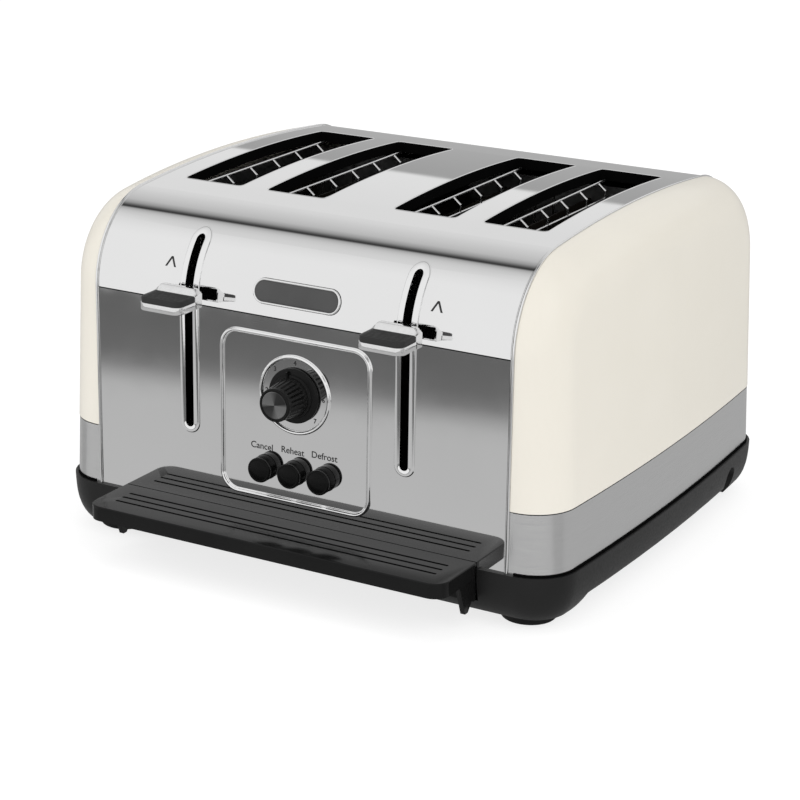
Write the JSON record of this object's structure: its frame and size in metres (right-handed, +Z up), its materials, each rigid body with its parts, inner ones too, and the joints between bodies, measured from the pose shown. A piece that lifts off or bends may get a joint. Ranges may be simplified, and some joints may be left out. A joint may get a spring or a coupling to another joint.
{
  "type": "pop up toaster",
  "caption": "Free-standing pop-up toaster with paired bread slots, two lift levers, a browning dial, push buttons and a slide-out crumb tray with a front ledge.",
  "frame": {"origin": "on the worktop, under the middle of the outline", "axes": "+X to the right seen from the front, +Y from the control side to the rear, +Z up"},
  "size_m": [0.3266, 0.3214, 0.2022],
  "materials": {
    "polished_steel": "mirror polished",
    "satin_steel": "satin, brushed",
    "cream_enamel": "smooth satin enamel",
    "chrome_trim": "bright chrome",
    "badge_enamel": "gloss enamel",
    "black_plastic": "fine matte texture",
    "satin_black": "satin",
    "rubber": "matte",
    "gloss_black": "satin gloss",
    "spun_aluminium": "spun rings",
    "lever_metal": "satin silver",
    "grip_grey": "soft touch",
    "zinc_steel": "zinc plated sheet",
    "wire_steel": "drawn wire",
    "mica": "layered mica",
    "resistance_wire": "oxidised ribbon",
    "circuit_board": "solder mask",
    "dark_component": "moulded"
  },
  "bodies": {
    "housing": {"badge": "badge_enamel", "badge_rim": "chrome_trim", "base": "black_plastic", "base_screws": "zinc_steel", "carriage_spring_left": "wire_steel", "carriage_spring_right": "wire_steel", "chamber_front": "zinc_steel", "chamber_rear": "zinc_steel", "control_board": "circuit_board", "control_frame": "chrome_trim", "cord_gland": "black_plastic", "dial_ring": "chrome_trim", "edge_trim_left": "chrome_trim", "edge_trim_right": "chrome_trim", "feet": "rubber", "front_panel": "polished_steel", "guide_rods": "zinc_steel", "heat_shield_left": "zinc_steel", "heat_shield_right": "zinc_steel", "heater_boards_left": "mica", "heater_boards_right": "mica", "heater_wires_left": "resistance_wire", "heater_wires_right": "resistance_wire", "latch_magnets": "dark_component", "lever_bezel_left": "polished_steel", "lever_bezel_right": "polished_steel", "rear_panel": "satin_steel", "side_band_left": "satin_steel", "side_band_right": "satin_steel", "side_panel_left": "cream_enamel", "side_panel_right": "cream_enamel", "tact_switches": "dark_component", "timer_pot": "dark_component", "top_cover": "polished_steel"},
    "lever_left": {"carriage_left": "zinc_steel", "lever_body_left": "lever_metal", "lever_pad_left": "grip_grey", "bread_rack_1": "wire_steel", "bread_rack_2": "wire_steel"},
    "lever_right": {"carriage_right": "zinc_steel", "lever_body_right": "lever_metal", "lever_pad_right": "grip_grey", "bread_rack_3": "wire_steel", "bread_rack_4": "wire_steel"},
    "dial": {"dial_knob": "gloss_black", "dial_cap": "spun_aluminium", "dial_shaft": "zinc_steel"},
    "cancel": {"button_cancel": "gloss_black"},
    "reheat": {"button_reheat": "gloss_black"},
    "defrost": {"button_defrost": "gloss_black"},
    "tray": {"crumb_tray": "zinc_steel", "tray_handle": "satin_black"},
    "guide_1": {"bread_guide_1": "wire_steel"},
    "guide_2": {"bread_guide_2": "wire_steel"},
    "guide_3": {"bread_guide_3": "wire_steel"},
    "guide_4": {"bread_guide_4": "wire_steel"},
    "guide_5": {"bread_guide_5": "wire_steel"},
    "guide_6": {"bread_guide_6": "wire_steel"},
    "guide_7": {"bread_guide_7": "wire_steel"},
    "guide_8": {"bread_guide_8": "wire_steel"}
  },
  "joints": [
    {"name": "lever_left_slide", "type": "slide", "parent": "housing", "child": "lever_left", "axis": [0, 0, 1], "range_m": [-0.07, 0.023], "stiffness_N_per_m": 60, "springref_m": 0.0172, "deforming": ["carriage_spring_left"]},
    {"name": "lever_right_slide", "type": "slide", "parent": "housing", "child": "lever_right", "axis": [0, 0, 1], "range_m": [-0.07, 0.023], "stiffness_N_per_m": 60, "springref_m": 0.0172, "deforming": ["carriage_spring_right"]},
    {"name": "dial_turn", "type": "hinge", "parent": "housing", "child": "dial", "pos_m": [0, -0.1222, 0.1071], "axis": [0, 1, 0], "range_deg": [-135, 135]},
    {"name": "cancel_press", "type": "slide", "parent": "housing", "child": "cancel", "axis": [0, 1, 0], "range_m": [0, 0.0025], "stiffness_N_per_m": 600, "springref_m": -0.001},
    {"name": "reheat_press", "type": "slide", "parent": "housing", "child": "reheat", "axis": [0, 1, 0], "range_m": [0, 0.0025], "stiffness_N_per_m": 600, "springref_m": -0.001},
    {"name": "defrost_press", "type": "slide", "parent": "housing", "child": "defrost", "axis": [0, 1, 0], "range_m": [0, 0.0025], "stiffness_N_per_m": 600, "springref_m": -0.001},
    {"name": "tray_slide", "type": "slide", "parent": "housing", "child": "tray", "axis": [0, -1, 0], "range_m": [0, 0.2]},
    {"name": "guide_1_lean", "type": "hinge", "parent": "housing", "child": "guide_1", "pos_m": [-0.1062, 0, 0.052], "axis": [0, 1, 0], "range_deg": [-0.85, 2.5]},
    {"name": "guide_2_lean", "type": "hinge", "parent": "housing", "child": "guide_2", "pos_m": [-0.0842, 0, 0.052], "axis": [0, 1, 0], "range_deg": [-2.5, 0.85]},
    {"name": "guide_3_lean", "type": "hinge", "parent": "housing", "child": "guide_3", "pos_m": [-0.0516, 0, 0.052], "axis": [0, 1, 0], "range_deg": [-0.85, 2.5]},
    {"name": "guide_4_lean", "type": "hinge", "parent": "housing", "child": "guide_4", "pos_m": [-0.0296, 0, 0.052], "axis": [0, 1, 0], "range_deg": [-2.5, 0.85]},
    {"name": "guide_5_lean", "type": "hinge", "parent": "housing", "child": "guide_5", "pos_m": [0.0296, 0, 0.052], "axis": [0, 1, 0], "range_deg": [-0.85, 2.5]},
    {"name": "guide_6_lean", "type": "hinge", "parent": "housing", "child": "guide_6", "pos_m": [0.0516, 0, 0.052], "axis": [0, 1, 0], "range_deg": [-2.5, 0.85]},
    {"name": "guide_7_lean", "type": "hinge", "parent": "housing", "child": "guide_7", "pos_m": [0.0842, 0, 0.052], "axis": [0, 1, 0], "range_deg": [-0.85, 2.5]},
    {"name": "guide_8_lean", "type": "hinge", "parent": "housing", "child": "guide_8", "pos_m": [0.1062, 0, 0.052], "axis": [0, 1, 0], "range_deg": [-2.5, 0.85]}
  ],
  "couplings": [
    {"joint": "guide_1_lean", "follows": "lever_left_slide", "rad_per_m": -0.6},
    {"joint": "guide_2_lean", "follows": "lever_left_slide", "rad_per_m": 0.6},
    {"joint": "guide_3_lean", "follows": "lever_left_slide", "rad_per_m": -0.6},
    {"joint": "guide_4_lean", "follows": "lever_left_slide", "rad_per_m": 0.6},
    {"joint": "guide_5_lean", "follows": "lever_right_slide", "rad_per_m": -0.6},
    {"joint": "guide_6_lean", "follows": "lever_right_slide", "rad_per_m": 0.6},
    {"joint": "guide_7_lean", "follows": "lever_right_slide", "rad_per_m": -0.6},
    {"joint": "guide_8_lean", "follows": "lever_right_slide", "rad_per_m": 0.6}
  ]
}
